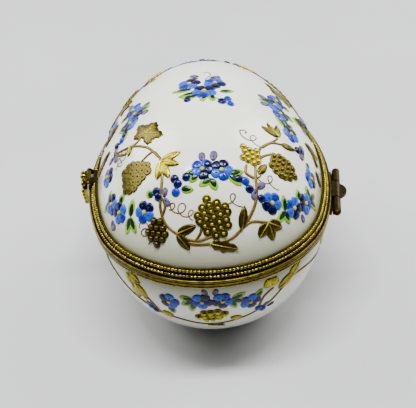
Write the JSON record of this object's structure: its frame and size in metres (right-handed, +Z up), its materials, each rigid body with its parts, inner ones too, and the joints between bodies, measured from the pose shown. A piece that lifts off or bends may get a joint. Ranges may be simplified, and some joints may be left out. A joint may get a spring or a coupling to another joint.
{
  "type": "trinket box",
  "caption": "Egg-shaped porcelain trinket box lying on its side, with a brass-rimmed hinged lid, a hanging bunch-of-grapes clasp and painted flower garlands",
  "frame": {"origin": "centre of the flat foot, on the surface the box rests on", "axes": "+Z up, +Y along the egg's long axis towards its slim end, +X towards the hinge; the clasp is on -X"},
  "size_m": [0.0631, 0.083, 0.0515],
  "materials": {
    "porcelain": "gloss-glazed hard porcelain, hand painted",
    "band_brass": "polished, tarnished in the grooves",
    "milled_brass": "milled bead wire, bright on the crests",
    "dark_brass": "cast, dark patina",
    "pin_brass": "drawn wire",
    "clasp_gilt": "cast and gilt, worn on the high spots"
  },
  "bodies": {
    "base": {"base_shell": "porcelain", "base_bezel": "band_brass", "base_milled_wire": "milled_brass", "closing_lip": "band_brass", "base_hinge_leaf": "band_brass", "base_stop_leaf": "dark_brass", "hinge_pin": "pin_brass", "hinge_cap_front": "dark_brass", "hinge_cap_back": "dark_brass", "catch_bead": "pin_brass"},
    "lid": {"lid_shell": "porcelain", "lid_bezel": "band_brass", "lid_upper_wire": "milled_brass", "lid_middle_wire": "milled_brass", "lid_rim_wire": "band_brass", "lid_hinge_leaf": "band_brass", "lid_stop_leaf": "dark_brass", "clasp_strap": "band_brass", "clasp_pin": "pin_brass"},
    "clasp": {"clasp_tongue": "clasp_gilt", "grape_bunch": "clasp_gilt"}
  },
  "joints": [
    {"name": "lid_hinge", "type": "hinge", "parent": "base", "child": "lid", "pos_m": [0.02967, -0.00757, 0.0275], "axis": [0.1132, 0.9936, 0], "range_deg": [0, 96]},
    {"name": "clasp_flex", "type": "hinge", "parent": "lid", "child": "clasp", "pos_m": [-0.02899, 0.00115, 0.0304], "axis": [0.0175, 0.9998, 0], "range_deg": [0, 8], "stiffness_Nm_per_rad": 0.01}
  ]
}
